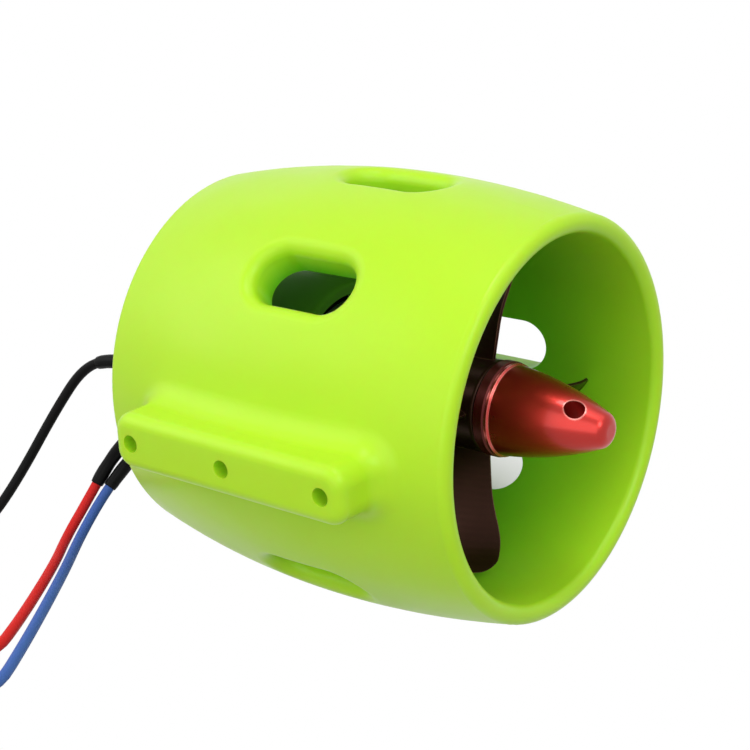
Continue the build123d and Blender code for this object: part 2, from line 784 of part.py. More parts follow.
black_route = [
    straight_back(-1, exit_x),
    straight_back(-1, -44.4),
    (-53.8, 35.9, -4.0),
    (-62.4, 36.1, -3.4),
    (-69.7, 34.7, -5.8),
    (-74.3, 30.1, -14.7),
    (-78.4, 23.6, -26.2),
    (-81.3, 18.4, -33.6),
    (-82.3, 14.0, on_floor),
]
red_route = [
    straight_back(0, exit_x),
    straight_back(0, -44.4),
    (-54.3, 37.1, -13.6),
    (-61.0, 35.8, -20.2),
    (-64.5, 33.6, -25.3),
    (-65.6, 28.1, -31.8),
    (-64.9, 21.7, on_floor),
    (-57.2, 11.6, on_floor),
    (-45.0, -7.5, on_floor),
    (-39.2, -18.4, on_floor),
]
blue_route = [
    straight_back(1, exit_x),
    straight_back(1, -43.9),
    (-52.8, 38.7, -16.4),
    (-58.8, 36.7, -22.4),
    (-62.0, 34.3, -26.8),
    (-62.9, 29.4, -31.2),
    (-62.4, 22.8, on_floor),
    (-53.4, 10.7, on_floor),
    (-38.4, -11.4, on_floor),
    (-28.3, -27.7, on_floor),
]


def bend_radii(route):
    """The radius of each bend, as large as the two runs beside it allow."""
    radii = []
    for before, corner, after in zip(route, route[1:], route[2:]):
        run_in = Vector(corner) - Vector(before)
        run_out = Vector(after) - Vector(corner)
        half_turn = radians(run_in.get_angle(run_out)) / 2
        radii.append(bend_share * min(run_in.length, run_out.length) / tan(half_turn))
    return radii


def tube(points, radii, tube_radius):
    """A round tube along straight runs joined by tangent bends."""
    with BuildPart() as piece:
        with BuildLine():
            middle_line = FilletPolyline(*points, radius=radii)
        with BuildSketch(Plane(origin=middle_line @ 0, z_dir=middle_line % 0)):
            Circle(tube_radius)
        sweep()
    expected = middle_line.length * pi * tube_radius**2
    print("  tube", round(middle_line.length, 1), "long, volume", round(piece.part.volume / expected, 4))
    return piece


def upright(point, direction):
    """The plane at point that looks along a level direction, with its own y upwards."""
    return Plane(origin=point, x_dir=Vector(0, 0, 1).cross(direction), z_dir=direction)


# Beyond the last point a lead runs straight into its coil. sleeve_end is the run in whose middle
# the heat-shrink sleeve ends, and turning is 1 where the coil turns left, -1 where it turns right.
for colour, route, run_to_coil, sleeve_end, turning in (
    ("black", black_route, last_black_run, 3, -1),
    ("red", red_route, last_run, 4, -1),
    ("blue", blue_route, last_run, 4, 1),
):
    coil_start = Vector(route[-1]) + into_coil * run_to_coil
    route = [*route, tuple(coil_start)]
    radii = bend_radii(route)
    print(colour, "bends", [round(radius, 1) for radius in radii])
    joint = tuple((Vector(route[sleeve_end]) + Vector(route[sleeve_end + 1])) / 2)
    sleeve_points = [*route[: sleeve_end + 1], joint]
    lead_points = [joint, *route[sleeve_end + 1 :]]
    finish(tube(sleeve_points, radii[:sleeve_end], sleeve_radius), f"{colour}_lead_sleeve")
    finish(tube(lead_points, radii[sleeve_end:], lead_radius), f"{colour}_lead")

    # The rest of the lead: a ring of turns on the floor, entered and left on its tangents.
    ring_side = into_coil.rotate(Axis.Z, turning * 90)
    coil_middle = coil_start + into_coil * coil_entry_length + ring_side * coil_radius
    ring_high = 2 * coil_turns_high * lead_radius
    ring_middle = Vector(coil_middle.X, coil_middle.Y, floor_z + ring_high / 2)
    exit_height = floor_z + plug_sleeve_radius
    exit_point = coil_middle + into_coil * coil_radius
    exit_point = Vector(exit_point.X, exit_point.Y, exit_height)
    with BuildPart() as coil:
        with BuildSketch(upright(ring_middle, into_coil)):
            with Locations((coil_radius, 0)):
                RectangleRounded(2 * coil_turns_wide * lead_radius, ring_high, coil_edge_round)
        revolve(axis=Axis(ring_middle, (0, 0, 1)))
        with BuildSketch(upright(coil_start, into_coil)):
            Circle(lead_radius)
        extrude(amount=coil_entry_length)
        with BuildSketch(upright(exit_point, ring_side)):
            Circle(lead_radius)
        extrude(amount=coil_exit_length)
    finish(coil, f"{colour}_lead_coil")

    # The bullet plug is soldered on the lead's end, under its own sleeve.
    plug_start = exit_point + ring_side * coil_exit_length
    with BuildPart() as plug:
        with BuildSketch(upright(plug_start, ring_side)):
            Circle(plug_cup_radius)
        extrude(amount=plug_cup_length)
        with BuildSketch(upright(plug_start + ring_side * plug_cup_length, ring_side)):
            Circle(plug_pin_radius)
        extrude(amount=plug_pin_length)
        pin_end = plug.faces().sort_by(Axis(plug_start, ring_side))[-1]
        fillet(pin_end.edges(), plug_pin_round)
    finish(plug, f"{colour}_plug")
    with BuildPart() as plug_sleeve:
        with BuildSketch(upright(plug_start - ring_side * plug_sleeve_overlap, ring_side)):
            Circle(plug_sleeve_radius)
            Circle(plug_cup_radius + bond_gap, mode=Mode.SUBTRACT)
        extrude(amount=plug_sleeve_length)
    finish(plug_sleeve, f"{colour}_plug_sleeve")
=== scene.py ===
import bmesh
import bpy
from math import cos, pi, radians, sin
from mathutils import Matrix, Vector
from random import Random


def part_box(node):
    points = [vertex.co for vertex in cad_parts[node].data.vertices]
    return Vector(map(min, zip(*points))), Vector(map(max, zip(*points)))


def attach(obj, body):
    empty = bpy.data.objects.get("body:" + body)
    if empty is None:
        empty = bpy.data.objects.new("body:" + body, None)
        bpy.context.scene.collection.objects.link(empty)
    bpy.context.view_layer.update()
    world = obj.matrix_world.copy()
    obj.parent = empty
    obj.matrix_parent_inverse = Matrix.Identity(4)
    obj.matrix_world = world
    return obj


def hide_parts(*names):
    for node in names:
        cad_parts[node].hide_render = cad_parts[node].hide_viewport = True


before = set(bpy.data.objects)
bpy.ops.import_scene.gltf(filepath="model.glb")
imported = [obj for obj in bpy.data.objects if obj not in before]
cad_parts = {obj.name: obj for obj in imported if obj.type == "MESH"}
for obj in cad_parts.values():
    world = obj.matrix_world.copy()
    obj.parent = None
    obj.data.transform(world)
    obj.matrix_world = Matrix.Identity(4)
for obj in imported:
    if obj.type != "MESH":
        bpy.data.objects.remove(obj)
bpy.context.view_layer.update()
mm = 0.001

# The duct is moulded in lime green plastic, with the mounting rib in the same moulding. The skin is
# satin and a little cloudy, with a faint grain from the mould, and some light sinks into it.
shroud_low, shroud_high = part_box("shroud")
# The rib stands out on the -Y side only, so the thrust axis is half the height in from the +Y side.
thrust_axis_y = shroud_high.y - (shroud_high.z - shroud_low.z) / 2
lime = (0.53, 0.86, 0.026, 1)
lime_cloud = (0.49, 0.83, 0.019, 1)
lime_roughness = (0.29, 0.41)
grain_to_clouds = 0.35


def add_node(tree, kind, values=(), **settings):
    """A shader node with its settings, and the values of its sockets by name or number."""
    node = tree.nodes.new(kind)
    for name, value in settings.items():
        setattr(node, name, value)
    for name, value in dict(values).items():
        node.inputs[name].default_value = value
    return node


def join(tree, *steps):
    """Links each (node, output) to the (node, input) beside it."""
    for (source, output), (target, socket) in steps:
        tree.links.new(source.outputs[output], target.inputs[socket])


def find_node(tree, kind):
    """The tree's first node of this kind."""
    return next(node for node in tree.nodes if node.type == kind)


def start_group(name, inputs, outputs):
    """An empty node group with named sockets, and its two end nodes."""
    tree = bpy.data.node_groups.new(name, "ShaderNodeTree")
    for label, kind, default in inputs:
        socket = tree.interface.new_socket(name=label, in_out="INPUT", socket_type=kind)
        if default is not None:
            socket.default_value = default
    for label, kind in outputs:
        tree.interface.new_socket(name=label, in_out="OUTPUT", socket_type=kind)
    return tree, tree.nodes.new("NodeGroupInput"), tree.nodes.new("NodeGroupOutput")


def make_moulded_skin():
    """Group: soft clouds and a fine grain, as a moulded or poured skin has."""
    tree, given, made = start_group(
        "moulded_skin",
        [
            ("Clouds Scale", "NodeSocketFloat", 40.0),
            ("Grain Scale", "NodeSocketFloat", 2500.0),
            ("Colour", "NodeSocketColor", (1, 1, 1, 1)),
            ("Cloud Colour", "NodeSocketColor", (1, 1, 1, 1)),
            ("Smooth", "NodeSocketFloat", 0.4),
            ("Rough", "NodeSocketFloat", 0.5),
        ],
        [("Colour", "NodeSocketColor"), ("Roughness", "NodeSocketFloat"), ("Height", "NodeSocketFloat")],
    )
    place = add_node(tree, "ShaderNodeTexCoord")
    clouds = add_node(tree, "ShaderNodeTexNoise", {"Detail": 4.0, "Roughness": 0.55})
    grain = add_node(tree, "ShaderNodeTexNoise", {"Detail": 2.0})
    tint = add_node(tree, "ShaderNodeMix", data_type="RGBA")
    gloss = add_node(tree, "ShaderNodeMapRange", {"From Min": 0.3, "From Max": 0.7})
    height = add_node(tree, "ShaderNodeMath", {1: grain_to_clouds}, operation="MULTIPLY_ADD")
    join(
        tree,
        ((place, "Object"), (clouds, "Vector")),
        ((place, "Object"), (grain, "Vector")),
        ((given, "Clouds Scale"), (clouds, "Scale")),
        ((given, "Grain Scale"), (grain, "Scale")),
        ((clouds, "Fac"), (tint, "Factor")),
        ((given, "Colour"), (tint, "A")),
        ((given, "Cloud Colour"), (tint, "B")),
        ((clouds, "Fac"), (gloss, "Value")),
        ((given, "Smooth"), (gloss, "To Min")),
        ((given, "Rough"), (gloss, "To Max")),
        ((grain, "Fac"), (height, 0)),
        ((clouds, "Fac"), (height, 2)),
        ((tint, "Result"), (made, "Colour")),
        ((gloss, "Result"), (made, "Roughness")),
        ((height, "Value"), (made, "Height")),
    )
    return tree


moulded_skin = make_moulded_skin()


def start_finish(name, **sockets):
    """A material with its Principled shader, whose steady values are set on its own sockets."""
    material = bpy.data.materials.new(name)
    material.use_nodes = True
    tree = material.node_tree
    tree.nodes.clear()
    values = {label.replace("_", " "): value for label, value in sockets.items()}
    shader = add_node(tree, "ShaderNodeBsdfPrincipled", values)
    surface = add_node(tree, "ShaderNodeOutputMaterial")
    join(tree, ((shader, "BSDF"), (surface, "Surface")))
    return material, tree, shader


def raise_grain(tree, shader, source, output, strength, distance):
    """Bumps the shader's surface by the height that comes from source."""
    bump = add_node(tree, "ShaderNodeBump", {"Strength": strength, "Distance": distance})
    join(tree, ((source, output), (bump, "Height")), ((bump, "Normal"), (shader, "Normal")))


def skin_finish(
    name, colour, cloud_colour, roughness, clouds_scale, grain_scale, strength, distance, **sockets
):
    """A moulded or poured finish. The roughness runs from the smoothest clouds to the roughest."""
    material, tree, shader = start_finish(name, **sockets)
    skin = add_node(tree, "ShaderNodeGroup", node_tree=moulded_skin)
    for label, value in (
        ("Clouds Scale", clouds_scale),
        ("Grain Scale", grain_scale),
        ("Colour", colour),
        ("Cloud Colour", cloud_colour),
        ("Smooth", roughness[0]),
        ("Rough", roughness[1]),
    ):
        skin.inputs[label].default_value = value
    join(
        tree,
        ((skin, "Colour"), (shader, "Base Color")),
        ((skin, "Roughness"), (shader, "Roughness")),
    )
    raise_grain(tree, shader, skin, "Height", strength, distance)
    return material


def dress(material, *node_names):
    """Gives the CAD nodes this finish."""
    for name in node_names:
        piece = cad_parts[name]
        piece.data.materials.clear()
        piece.data.materials.append(material)


lime_plastic = skin_finish(
    "lime_plastic",
    lime,
    lime_cloud,
    lime_roughness,
    clouds_scale=55.0,
    grain_scale=2600.0,
    strength=0.25,
    distance=0.06 * mm,
    Subsurface_Weight=0.4,
    Subsurface_Radius=(0.3, 1.0, 0.15),
    Subsurface_Scale=2.5 * mm,
    Specular_IOR_Level=0.28,
)
dress(lime_plastic, "shroud")


def add_piece(name, mesh, body):
    """A finished mesh as an object that rides on a body."""
    piece = bpy.data.objects.new(name, mesh)
    bpy.context.scene.collection.objects.link(piece)
    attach(piece, body)
    return piece


# The duct's outside is bowed like a barrel, but its bore is straight, so its wall is thickest in
# the middle. Seven obround slots go through the thick wall, and their rims are only a little
# rounded. The shroud's solid has a bowed bore and smaller slots, so its skin is moved outwards
# round each slot and inwards to the straight bore.
duct_outlet_x = 34.6 * mm
duct_length = 71.6 * mm
barrel_radius = 37.7 * mm
outlet_radius = 34.3 * mm
intake_radius = 33.6 * mm
solid_wall = 3.4 * mm
lip_x = duct_outlet_x - solid_wall / 2
intake_x = duct_outlet_x - duct_length
duct_middle_x = (lip_x + intake_x) / 2
duct_half = lip_x - duct_middle_x
intake_round = 1.0 * mm
slots_in_circle = 8
solid_slot = {"centre": 2.6 * mm, "length": 17.0 * mm, "width": 8.0 * mm, "round": 2.4 * mm}
real_slot = {"centre": 1.7 * mm, "length": 19.4 * mm, "width": 9.5 * mm, "round": 2.2 * mm}
solid_bend = solid_slot["width"] / 2
solid_rim = solid_bend + solid_slot["round"]
solid_half = solid_slot["length"] / 2 - solid_bend
real_half = (real_slot["length"] - real_slot["width"]) / 2
round_ratio = real_slot["round"] / solid_slot["round"]
slot_reach = 9.5 * mm
slots_end_x = duct_length / 3
skin_tolerance = 0.4 * mm
end_tolerance = 0.01 * mm
facing_inwards = 0.7


def outside_radius(x):
    """The bowed outside: intake, middle and outlet radius along one smooth arc."""
    share = (x - duct_middle_x) / duct_half
    ends = outlet_radius * (share + 1) / 2 + intake_radius * (share - 1) / 2
    return barrel_radius * (1 - share * share) + ends * share


def bore_radius(x):
    """The straight bore, which meets the solid's own at the lip and at the intake's round."""
    first_x = intake_x + intake_round
    first, last = outside_radius(first_x) - solid_wall, outside_radius(lip_x) - solid_wall
    return first + (last - first) * (x - first_x) / (lip_x - first_x)


def on_bore(point):
    """True where a point of the solid's skin is on its bowed bore."""
    depth = outside_radius(point.x) - Vector((point.y - thrust_axis_y, point.z)).length
    between_ends = intake_x + intake_round - end_tolerance < point.x < lip_x + end_tolerance
    return between_ends and abs(depth - solid_wall) < skin_tolerance


def real_place(point):
    """Where a point on the solid's skin lies on the real duct."""
    out = Vector((point.y - thrust_axis_y, point.z))
    bored = on_bore(point)
    depth = outside_radius(point.x) - out.length
    # The circle's first place is under the rib and has no slot.
    for place in range(1, slots_in_circle):
        angle = 2 * pi * place / slots_in_circle
        ahead = Vector((-cos(angle), sin(angle)))
        across = Vector((sin(angle), cos(angle)))
        along = point.x - solid_slot["centre"]
        # The nearest point on the slot's middle line, and the way from there to this point.
        middle = min(solid_half, max(-solid_half, along))
        away = Vector((along - middle, out.dot(across)))
        if out.dot(ahead) < 0 or away.length > slot_reach or abs(point.x) > slots_end_x:
            continue
        # The whole move at the slot's rim, fading to none at its reach.
        fade = min(1, (slot_reach - away.length) / (slot_reach - solid_rim))
        if away.length < solid_rim:
            distance = real_slot["width"] / 2 + (away.length - solid_bend) * round_ratio
            depth *= round_ratio
        else:
            distance = away.length + fade * (real_slot["width"] / 2 + real_slot["round"] - solid_rim)
        away = away.normalized() * distance
        x = solid_slot["centre"] + fade * (real_slot["centre"] - solid_slot["centre"]) + away.x
        x += middle * (1 + fade * (real_half / solid_half - 1))
        radius = bore_radius(x) if bored else outside_radius(x) - depth
        outwards = ahead * (radius * radius - away.y * away.y) ** 0.5 + across * away.y
        return Vector((x, thrust_axis_y + outwards.x, outwards.y))
    if bored:
        out = out.normalized() * bore_radius(point.x)
        return Vector((point.x, thrust_axis_y + out.x, out.y))
    return point.copy()


duct_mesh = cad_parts["shroud"].data.copy()
duct_mesh.name = "duct"
duct_normals = [corner.vector.copy() for corner in duct_mesh.corner_normals]
for corner in duct_mesh.loops:
    point = duct_mesh.vertices[corner.vertex_index].co
    inwards = Vector((0, thrust_axis_y - point.y, -point.z)).normalized()
    if on_bore(point) and duct_normals[corner.index].dot(inwards) > facing_inwards:
        duct_normals[corner.index] = inwards
for vertex in duct_mesh.vertices:
    vertex.co = real_place(vertex.co)
duct_mesh.normals_split_custom_set(duct_normals)
duct = add_piece("duct", duct_mesh, "housing")
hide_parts("shroud")

# Deep in the slots and the bore, the lime plastic gets painted shade. With depth under the bowed
# outside, its colour is multiplied towards a darker, fuller green. This stands in for the light that
# reaches it there only after it has passed through or off the plastic beside it.
deepest_painted_shade = (0.36, 0.76, 0.50, 1)
middle_painted_shade = (0.88, 1.0, 1.0, 1)
middle_painted_shade_place = 0.45
painted_shade_start_depth = 0.6 * mm
painted_shade_full_depth = 6.6 * mm
lime_tree = lime_plastic.node_tree
lime_shader = find_node(lime_tree, "BSDF_PRINCIPLED")
lime_skin = find_node(lime_tree, "GROUP")
bow = barrel_radius - (outlet_radius + intake_radius) / 2
# The depth under the bowed outside, from how far a point is along and out from the thrust axis, sets the
# painted shade.
duct_place = add_node(lime_tree, "ShaderNodeTexCoord")
from_middle = add_node(
    lime_tree, "ShaderNodeVectorMath", {1: (-duct_middle_x, -thrust_axis_y, 0)}, operation="ADD"
)
duct_parts = add_node(lime_tree, "ShaderNodeSeparateXYZ")
duct_across = add_node(lime_tree, "ShaderNodeCombineXYZ")
duct_out = add_node(lime_tree, "ShaderNodeVectorMath", operation="LENGTH")
share_along = add_node(lime_tree, "ShaderNodeMath", {1: 1 / duct_half}, operation="MULTIPLY")
share_squared = add_node(lime_tree, "ShaderNodeMath", operation="MULTIPLY")
outside = add_node(lime_tree, "ShaderNodeMath", {1: -bow, 2: barrel_radius}, operation="MULTIPLY_ADD")
skin_depth = add_node(lime_tree, "ShaderNodeMath", operation="SUBTRACT")
painted_shade_share = add_node(
    lime_tree, "ShaderNodeMapRange", {"From Min": painted_shade_start_depth, "From Max": painted_shade_full_depth}
)
painted_shade_ramp = add_node(lime_tree, "ShaderNodeValToRGB")
painted_shade_ramp.color_ramp.elements[0].color = (1, 1, 1, 1)
painted_shade_ramp.color_ramp.elements[1].color = deepest_painted_shade
painted_shade_ramp.color_ramp.elements.new(middle_painted_shade_place).color = middle_painted_shade
painted_shade_mix = add_node(lime_tree, "ShaderNodeMix", {"Factor": 1.0}, data_type="RGBA", blend_type="MULTIPLY")
join(
    lime_tree,
    ((duct_place, "Object"), (from_middle, 0)),
    ((from_middle, "Vector"), (duct_parts, "Vector")),
    ((duct_parts, "Y"), (duct_across, "Y")),
    ((duct_parts, "Z"), (duct_across, "Z")),
    ((duct_across, "Vector"), (duct_out, 0)),
    ((duct_parts, "X"), (share_along, 0)),
    ((share_along, "Value"), (share_squared, 0)),
    ((share_along, "Value"), (share_squared, 1)),
    ((share_squared, "Value"), (outside, 0)),
    ((outside, "Value"), (skin_depth, 0)),
    ((duct_out, "Value"), (skin_depth, 1)),
    ((skin_depth, "Value"), (painted_shade_share, "Value")),
    ((painted_shade_share, "Result"), (painted_shade_ramp, "Fac")),
    ((lime_skin, "Colour"), (painted_shade_mix, "A")),
    ((painted_shade_ramp, "Color"), (painted_shade_mix, "B")),
    ((painted_shade_mix, "Result"), (lime_shader, "Base Color")),
)

# The motor pod is a cup that holds the motor in the middle of the duct. It is moulded with its
# vanes, which are bonded to the bore by their tips. Its much darker green is painted shade: a
# darkened stand-in for the lime plastic in the dim middle of the duct.
pod_plastic_painted_shade = skin_finish(
    "pod_plastic_painted_shade",
    (0.085, 0.27, 0.015, 1),
    (0.070, 0.24, 0.012, 1),
    (0.5, 0.62),
    clouds_scale=70.0,
    grain_scale=2600.0,
    strength=0.25,
    distance=0.06 * mm,
    Specular_IOR_Level=0.1,
)
dress(pod_plastic_painted_shade, "motor_pod")

# Black resin is poured into the back of the pod, round the leads and the motor's own wires, so that
# no water gets in there. It sets glossy, with a few ripples.
potting_resin = skin_finish(
    "potting_resin",
    (0.012, 0.012, 0.013, 1),
    (0.022, 0.021, 0.020, 1),
    (0.12, 0.26),
    clouds_scale=260.0,
    grain_scale=900.0,
    strength=0.5,
    distance=0.15 * mm,
)
dress(potting_resin, "lead_potting")

# The base with its bearing tube is turned from bare aluminium. The bearings and the screws are
# stainless steel. Turned pieces keep the fine rings that the lathe leaves round the thrust axis, and
# their edges are rubbed brighter than their faces. On the red nut the brighter edges are a painted
# highlight instead.
usual_ring_scale = 5200.0
ring_height = 0.02 * mm
narrow_edge = 0.25 * mm
bevel_samples = 6


def make_edge_wear_and_highlight():
    """Group: an edge mask, 0 on faces and up to Most on sharp edges, as far as its wear input lets it
    through. It marks edge wear, and on the red nut a painted highlight.
    """
    tree, given, made = start_group(
        "edge_wear_and_highlight",
        [
            ("Width", "NodeSocketFloat", narrow_edge),
            ("Face Agrees", "NodeSocketFloat", 1.0),
            ("Edge Agrees", "NodeSocketFloat", 0.9),
            ("Most", "NodeSocketFloat", 1.0),
            ("Wear And Highlight", "NodeSocketFloat", 1.0),
        ],
        [("Mask", "NodeSocketFloat")],
    )
    rounded = add_node(tree, "ShaderNodeBevel", samples=bevel_samples)
    face = add_node(tree, "ShaderNodeNewGeometry")
    agree = add_node(tree, "ShaderNodeVectorMath", operation="DOT_PRODUCT")
    edge = add_node(tree, "ShaderNodeMapRange")
    rub = add_node(tree, "ShaderNodeMath", operation="MULTIPLY")
    join(
        tree,
        ((given, "Width"), (rounded, "Radius")),
        ((rounded, "Normal"), (agree, 0)),
        ((face, "Normal"), (agree, 1)),
        ((agree, "Value"), (edge, "Value")),
        ((given, "Face Agrees"), (edge, "From Min")),
        ((given, "Edge Agrees"), (edge, "From Max")),
        ((given, "Most"), (edge, "To Max")),
        ((edge, "Result"), (rub, 0)),
        ((given, "Wear And Highlight"), (rub, 1)),
        ((rub, "Value"), (made, "Mask")),
    )
    return tree


edge_wear_and_highlight = make_edge_wear_and_highlight()


def make_turned_metal():
    """Group: lathe rings round the thrust axis, faint smears, and tinted edges: wear on most metals, a
    painted highlight on the red nut.
    """
    tree, given, made = start_group(
        "turned_metal",
        [
            ("Ring Scale", "NodeSocketFloat", usual_ring_scale),
            ("Colour", "NodeSocketColor", (1, 1, 1, 1)),
            ("Edge Colour", "NodeSocketColor", (1, 1, 1, 1)),
            ("Edge Width", "NodeSocketFloat", narrow_edge),
            ("Smooth", "NodeSocketFloat", 0.25),
            ("Rough", "NodeSocketFloat", 0.4),
        ],
        [("Colour", "NodeSocketColor"), ("Roughness", "NodeSocketFloat"), ("Height", "NodeSocketFloat")],
    )
    place = add_node(tree, "ShaderNodeTexCoord")
    from_axis = add_node(tree, "ShaderNodeVectorMath", {1: (0, -thrust_axis_y, 0)}, operation="ADD")
    parts = add_node(tree, "ShaderNodeSeparateXYZ")
    across = add_node(tree, "ShaderNodeCombineXYZ")
    out = add_node(tree, "ShaderNodeVectorMath", operation="LENGTH")
    along_and_out = add_node(tree, "ShaderNodeCombineXYZ")
    rings = add_node(
        tree, "ShaderNodeTexNoise", {"Detail": 3.0, "Roughness": 0.7}, noise_dimensions="2D"
    )
    smears = add_node(tree, "ShaderNodeTexNoise", {"Scale": 180.0, "Detail": 5.0, "Roughness": 0.6})
    gloss = add_node(tree, "ShaderNodeMapRange", {"From Min": 0.3, "From Max": 0.72})
    wear_and_highlight_amount = add_node(
        tree,
        "ShaderNodeMapRange",
        {"From Min": 0.36, "From Max": 0.6, "To Min": 0.25, "To Max": 1.0},
    )
    edges = add_node(
        tree,
        "ShaderNodeGroup",
        {"Face Agrees": 0.995, "Edge Agrees": 0.93, "Most": 1.0},
        node_tree=edge_wear_and_highlight,
    )
    tint = add_node(tree, "ShaderNodeMix", data_type="RGBA")
    join(
        tree,
        ((place, "Object"), (from_axis, 0)),
        ((from_axis, "Vector"), (parts, "Vector")),
        ((parts, "Y"), (across, "Y")),
        ((parts, "Z"), (across, "Z")),
        ((across, "Vector"), (out, 0)),
        ((parts, "X"), (along_and_out, "X")),
        ((out, "Value"), (along_and_out, "Y")),
        ((along_and_out, "Vector"), (rings, "Vector")),
        ((given, "Ring Scale"), (rings, "Scale")),
        ((place, "Object"), (smears, "Vector")),
        ((smears, "Fac"), (gloss, "Value")),
        ((given, "Smooth"), (gloss, "To Min")),
        ((given, "Rough"), (gloss, "To Max")),
        ((given, "Edge Width"), (edges, "Width")),
        ((smears, "Fac"), (wear_and_highlight_amount, "Value")),
        ((wear_and_highlight_amount, "Result"), (edges, "Wear And Highlight")),
        ((edges, "Mask"), (tint, "Factor")),
        ((given, "Colour"), (tint, "A")),
        ((given, "Edge Colour"), (tint, "B")),
        ((tint, "Result"), (made, "Colour")),
        ((gloss, "Result"), (made, "Roughness")),
        ((rings, "Fac"), (made, "Height")),
    )
    return tree


turned_metal = make_turned_metal()


def turned_finish(
    name,
    colour,
    edge_colour,
    roughness,
    strength,
    ring_scale=usual_ring_scale,
    edge_width=narrow_edge,
    **sockets,
):
    """A metal finish with lathe rings round the thrust axis."""
    material, tree, shader = start_finish(name, **{"Metallic": 1.0, **sockets})
    turned = add_node(tree, "ShaderNodeGroup", node_tree=turned_metal)
    for label, value in (
        ("Ring Scale", ring_scale),
        ("Colour", colour),
        ("Edge Colour", edge_colour),
        ("Edge Width", edge_width),
        ("Smooth", roughness[0]),
        ("Rough", roughness[1]),
    ):
        turned.inputs[label].default_value = value
    join(
        tree,
        ((turned, "Colour"), (shader, "Base Color")),
        ((turned, "Roughness"), (shader, "Roughness")),
    )
    raise_grain(tree, shader, turned, "Height", strength, ring_height)
    return material


bare_aluminium = turned_finish(
    "bare_aluminium", (0.72, 0.72, 0.74, 1), (0.86, 0.86, 0.87, 1), (0.22, 0.38), strength=0.35
)
stainless_steel = turned_finish(
    "stainless_steel", (0.56, 0.56, 0.57, 1), (0.74, 0.74, 0.74, 1), (0.16, 0.30), strength=0.2
)
dress(bare_aluminium, "motor_base")
dress(stainless_steel, "motor_screws", "rear_bearing", "front_bearing")

# The stator core is a stack of thin steel sheets under a coat of clear resin, so its sides show
# fine lines across the thrust axis.
lines_per_metre = 1425.0
lines_at_scale_one = 20 / (2 * pi)
stack_finish, stack_tree, stack_shader = start_finish(
    "lamination_steel", Metallic=0.85, Coat_Weight=0.6, Coat_Roughness=0.15
)
stack_place = add_node(stack_tree, "ShaderNodeTexCoord")
sheet_lines = add_node(
    stack_tree,
    "ShaderNodeTexWave",
    {"Scale": lines_per_metre / lines_at_scale_one, "Distortion": 0.4, "Detail": 1.0},
    bands_direction="X",
)
stack_colour = add_node(
    stack_tree,
    "ShaderNodeMix",
    {"A": (0.10, 0.10, 0.11, 1), "B": (0.33, 0.33, 0.35, 1)},
    data_type="RGBA",
)
stack_gloss = add_node(stack_tree, "ShaderNodeMapRange", {"To Min": 0.5, "To Max": 0.28})
join(
    stack_tree,
    ((stack_place, "Object"), (sheet_lines, "Vector")),
    ((sheet_lines, "Fac"), (stack_colour, "Factor")),
    ((stack_colour, "Result"), (stack_shader, "Base Color")),
    ((sheet_lines, "Fac"), (stack_gloss, "Value")),
    ((stack_gloss, "Result"), (stack_shader, "Roughness")),
)
raise_grain(stack_tree, stack_shader, sheet_lines, "Fac", strength=0.6, distance=0.04 * mm)
dress(stack_finish, "stator_core")

# Each tooth is wound with enamelled copper wire, and the three tails are the same wire. The
# windings are dipped in resin, which leaves them glossy.
wire_finish, wire_tree, wire_shader = start_finish(
    "enamelled_copper", Metallic=0.7, Coat_Weight=0.7, Coat_Roughness=0.12
)
wire_place = add_node(wire_tree, "ShaderNodeTexCoord")
turns_of_wire = add_node(
    wire_tree,
    "ShaderNodeTexWave",
    {"Scale": 520.0, "Distortion": 0.8, "Detail": 1.0, "Detail Scale": 2.0},
    wave_type="RINGS",
    rings_direction="X",
)
wire_colour = add_node(
    wire_tree,
    "ShaderNodeMix",
    {"A": (0.28, 0.07, 0.02, 1), "B": (0.72, 0.27, 0.09, 1)},
    data_type="RGBA",
)
wire_gloss = add_node(wire_tree, "ShaderNodeMapRange", {"To Min": 0.45, "To Max": 0.25})
wire_from_axis = add_node(
    wire_tree, "ShaderNodeVectorMath", {1: (0, -thrust_axis_y, 0)}, operation="ADD"
)
join(
    wire_tree,
    ((wire_place, "Object"), (wire_from_axis, 0)),
    ((wire_from_axis, "Vector"), (turns_of_wire, "Vector")),
    ((turns_of_wire, "Fac"), (wire_colour, "Factor")),
    ((wire_colour, "Result"), (wire_shader, "Base Color")),
    ((turns_of_wire, "Fac"), (wire_gloss, "Value")),
    ((wire_gloss, "Result"), (wire_shader, "Roughness")),
)
raise_grain(wire_tree, wire_shader, turns_of_wire, "Fac", strength=0.7, distance=0.1 * mm)
dress(wire_finish, "stator_windings", "phase_tails")

# Shaft, circlip and spacer are steel. The bell is turned aluminium, and its flux ring is steel
# with a thin black coat. The magnets are nickel plated and glued inside the ring.
dress(stainless_steel, "motor_shaft", "shaft_circlip", "thrust_spacer")
dress(bare_aluminium, "rotor_bell")
black_coat = turned_finish(
    "black_coat", (0.035, 0.035, 0.04, 1), (0.30, 0.29, 0.28, 1), (0.3, 0.5), strength=0.25
)
dress(black_coat, "flux_ring")
nickel_plate = turned_finish(
    "nickel_plate",
    (0.62, 0.60, 0.55, 1),
    (0.75, 0.73, 0.68, 1),
    (0.1, 0.24),
    strength=0.15,
    ring_scale=1500.0,
)
dress(nickel_plate, "rotor_magnets")

# The propeller adapter is turned aluminium. Its arms are bolted to the bell by four cap screws of
# stainless steel, and its stem goes through the propeller.
dress(bare_aluminium, "prop_adapter")
dress(stainless_steel, "adapter_screws")

